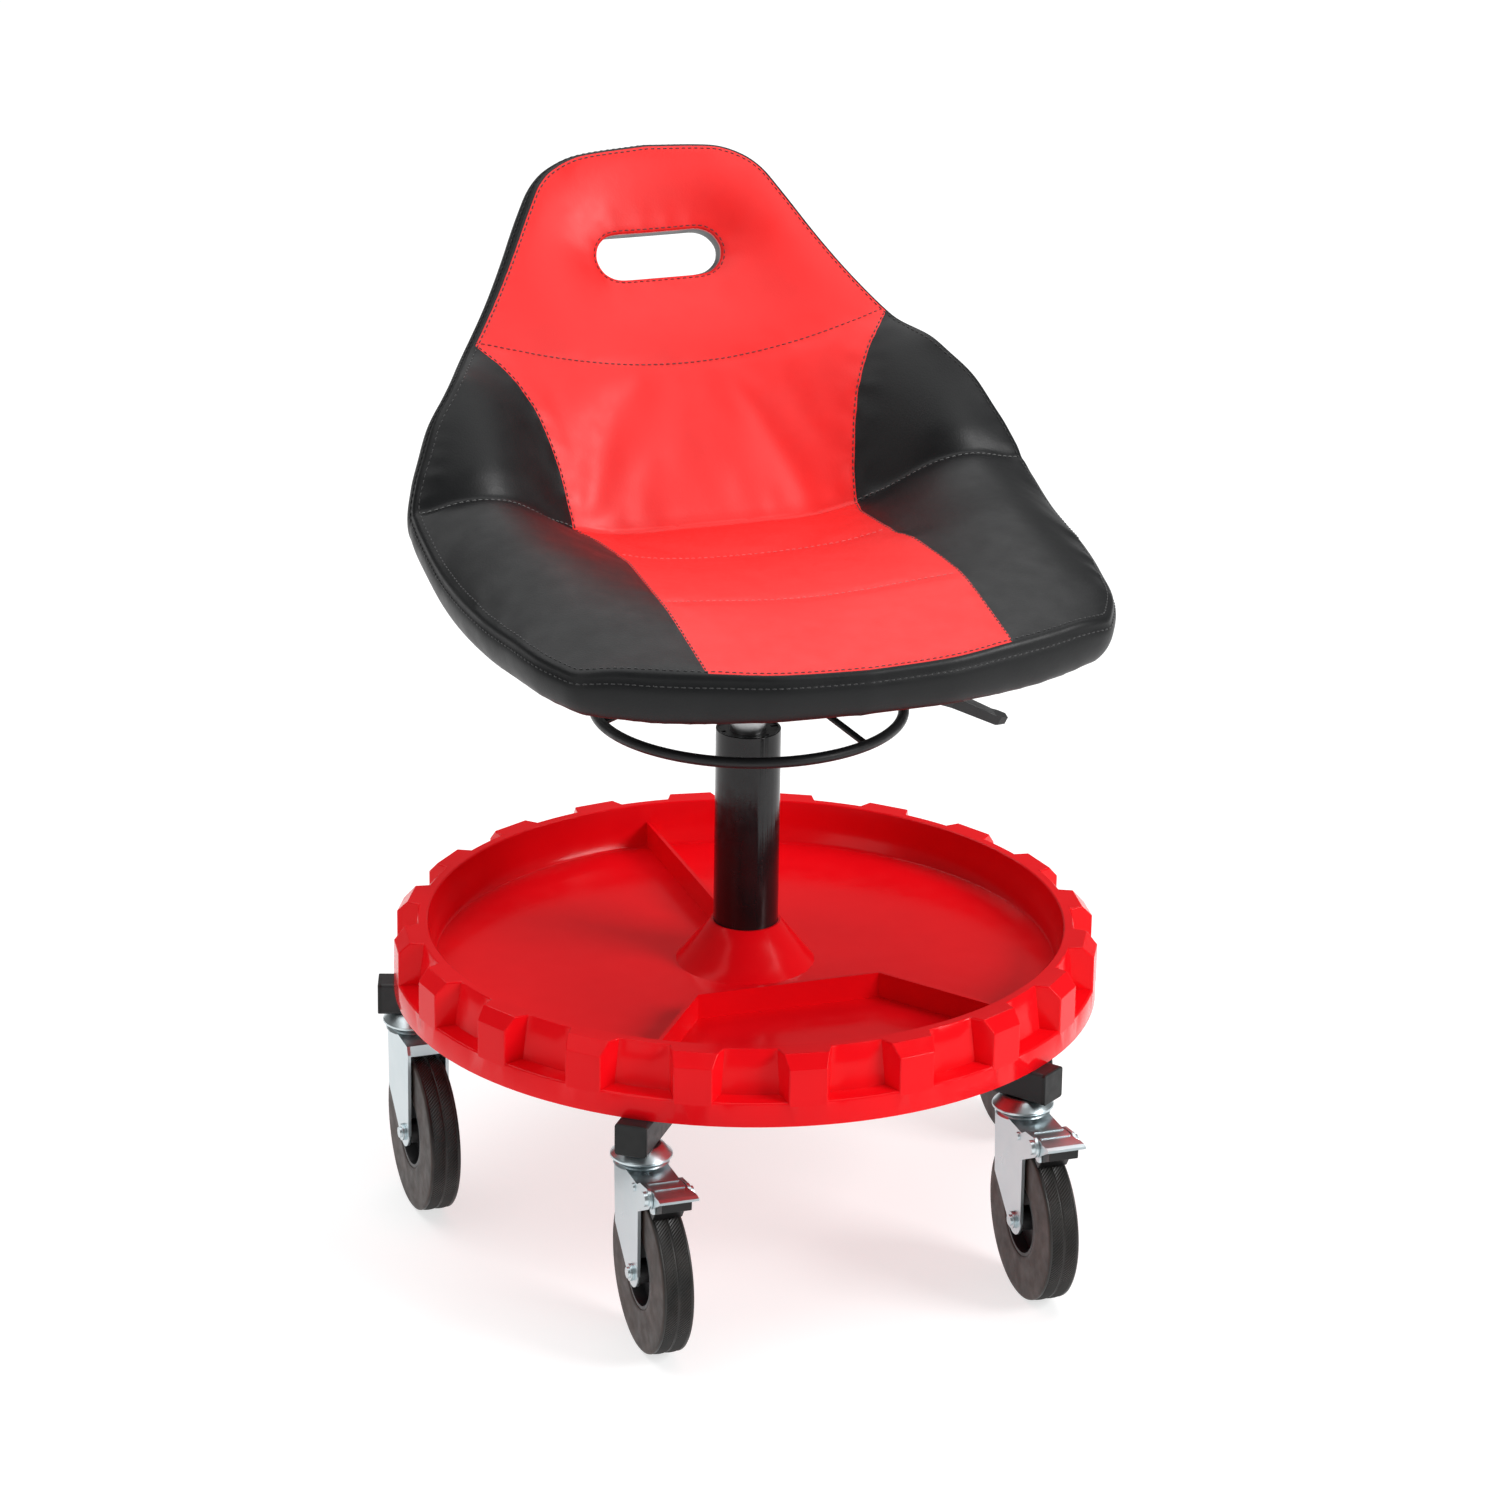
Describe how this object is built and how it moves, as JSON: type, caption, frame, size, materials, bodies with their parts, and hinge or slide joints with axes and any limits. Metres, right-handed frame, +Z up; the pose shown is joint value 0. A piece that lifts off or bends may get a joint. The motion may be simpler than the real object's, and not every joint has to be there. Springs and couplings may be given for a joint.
{
  "type": "mechanics creeper seat",
  "caption": "Rolling mechanic's bucket seat with a hand hole, on a gas lift with a release ring and lever, over a round divided tool tray and five swivel casters, the front two braked.",
  "frame": {"origin": "on the floor under the lift column's axis", "axes": "+Z up; the seat faces -Y; +X is the sitter's left when seated, the release lever's side"},
  "size_m": [0.5474, 0.6013, 0.7742],
  "materials": {
    "frame_black": "satin black powder coat",
    "cap_black": "moulded",
    "tray_red": "gloss moulded plastic",
    "zinc_steel": "bright zinc plate",
    "column_black": "gloss black enamel",
    "bush_black": "moulded",
    "bearing_steel": "ground",
    "chrome_rod": "polished",
    "bumper_rubber": "matt",
    "cylinder_steel": "ground",
    "vinyl_black": "grained vinyl",
    "vinyl_red": "smooth vinyl",
    "plywood": "moulded plywood",
    "paddle_black": "moulded",
    "tyre_rubber": "moulded rubber",
    "rim_black": "moulded",
    "shoe_black": "moulded"
  },
  "bodies": {
    "root": {"base_frame": "frame_black", "leg_end_caps": "cap_black", "tray": "tray_red", "tray_screws": "zinc_steel", "column_tube": "column_black", "column_bush": "bush_black", "thrust_bearing": "bearing_steel", "caster_stems": "zinc_steel", "caster_cups": "zinc_steel", "stem_nuts": "zinc_steel", "swivel_balls": "bearing_steel"},
    "spring_rod": {"piston_rod": "chrome_rod", "gas_piston": "bearing_steel", "rod_clip": "bearing_steel", "rod_bumper": "bumper_rubber"},
    "seat": {"gas_cylinder": "cylinder_steel", "ring_clip": "bearing_steel", "seat_bracket": "frame_black", "lever_pin": "zinc_steel", "bracket_bolts": "zinc_steel", "tee_nuts": "zinc_steel", "rear_cover": "vinyl_black", "seat_shell": "plywood", "seat_cushion": "vinyl_red"},
    "lever": {"lever_rod": "frame_black", "lever_paddle": "paddle_black"},
    "ring": {"release_ring": "frame_black"},
    "release_button": {"release_button": "cap_black"},
    "caster_front_left": {"fork_front_left": "zinc_steel", "axle_front_left": "zinc_steel"},
    "wheel_front_left": {"tyre_front_left": "tyre_rubber", "rim_front_left": "rim_black"},
    "pedal_front_left": {"brake_pedal_front_left": "zinc_steel", "brake_shoe_front_left": "shoe_black"},
    "caster_front_right": {"fork_front_right": "zinc_steel", "axle_front_right": "zinc_steel"},
    "wheel_front_right": {"tyre_front_right": "tyre_rubber", "rim_front_right": "rim_black"},
    "pedal_front_right": {"brake_pedal_front_right": "zinc_steel", "brake_shoe_front_right": "shoe_black"},
    "caster_right": {"fork_right": "zinc_steel", "axle_right": "zinc_steel"},
    "wheel_right": {"tyre_right": "tyre_rubber", "rim_right": "rim_black"},
    "caster_rear": {"fork_rear": "zinc_steel", "axle_rear": "zinc_steel"},
    "wheel_rear": {"tyre_rear": "tyre_rubber", "rim_rear": "rim_black"},
    "caster_left": {"fork_left": "zinc_steel", "axle_left": "zinc_steel"},
    "wheel_left": {"tyre_left": "tyre_rubber", "rim_left": "rim_black"}
  },
  "joints": [
    {"name": "seat_swivel", "type": "hinge", "parent": "root", "child": "spring_rod", "pos_m": [0, 0, 0.2], "axis": [0, 0, 1], "continuous": true},
    {"name": "seat_lift", "type": "slide", "parent": "spring_rod", "child": "seat", "axis": [0, 0, 1], "range_m": [-0.044, 0.07]},
    {"name": "lever_lift", "type": "hinge", "parent": "seat", "child": "lever", "pos_m": [0.03166, -0.00468, 0.467], "axis": [-0.1461, -0.9893, 0], "range_deg": [0, 10], "stiffness_Nm_per_rad": 4},
    {"name": "ring_tilt", "type": "hinge", "parent": "seat", "child": "ring", "pos_m": [0, 0, 0.4388], "axis": [1, 0, 0], "range_deg": [-3, 3], "stiffness_Nm_per_rad": 8},
    {"name": "button_press", "type": "slide", "parent": "seat", "child": "release_button", "axis": [0, 0, 1], "range_m": [-0.0062, 0]},
    {"name": "swivel_front_left", "type": "hinge", "parent": "root", "child": "caster_front_left", "pos_m": [-0.15118, -0.20808, 0.14], "axis": [0, 0, 1], "continuous": true},
    {"name": "roll_front_left", "type": "hinge", "parent": "caster_front_left", "child": "wheel_front_left", "pos_m": [-0.15118, -0.23808, 0.0625], "axis": [1, 0, 0], "continuous": true},
    {"name": "brake_front_left", "type": "hinge", "parent": "caster_front_left", "child": "pedal_front_left", "pos_m": [-0.15118, -0.27068, 0.1368], "axis": [1, 0, 0], "range_deg": [0, 16]},
    {"name": "swivel_front_right", "type": "hinge", "parent": "root", "child": "caster_front_right", "pos_m": [0.15118, -0.20808, 0.14], "axis": [0, 0, 1], "continuous": true},
    {"name": "roll_front_right", "type": "hinge", "parent": "caster_front_right", "child": "wheel_front_right", "pos_m": [0.15118, -0.23808, 0.0625], "axis": [1, 0, 0], "continuous": true},
    {"name": "brake_front_right", "type": "hinge", "parent": "caster_front_right", "child": "pedal_front_right", "pos_m": [0.15118, -0.27068, 0.1368], "axis": [1, 0, 0], "range_deg": [0, 16]},
    {"name": "swivel_right", "type": "hinge", "parent": "root", "child": "caster_right", "pos_m": [0.24461, 0.07948, 0.14], "axis": [0, 0, 1], "continuous": true},
    {"name": "roll_right", "type": "hinge", "parent": "caster_right", "child": "wheel_right", "pos_m": [0.24461, 0.04948, 0.0625], "axis": [1, 0, 0], "continuous": true},
    {"name": "swivel_rear", "type": "hinge", "parent": "root", "child": "caster_rear", "pos_m": [0, 0.2572, 0.14], "axis": [0, 0, 1], "continuous": true},
    {"name": "roll_rear", "type": "hinge", "parent": "caster_rear", "child": "wheel_rear", "pos_m": [0, 0.2272, 0.0625], "axis": [1, 0, 0], "continuous": true},
    {"name": "swivel_left", "type": "hinge", "parent": "root", "child": "caster_left", "pos_m": [-0.24461, 0.07948, 0.14], "axis": [0, 0, 1], "continuous": true},
    {"name": "roll_left", "type": "hinge", "parent": "caster_left", "child": "wheel_left", "pos_m": [-0.24461, 0.04948, 0.0625], "axis": [1, 0, 0], "continuous": true}
  ],
  "couplings": [
    {"joint": "button_press", "follows": "lever_lift", "m_per_rad": -0.0345}
  ]
}
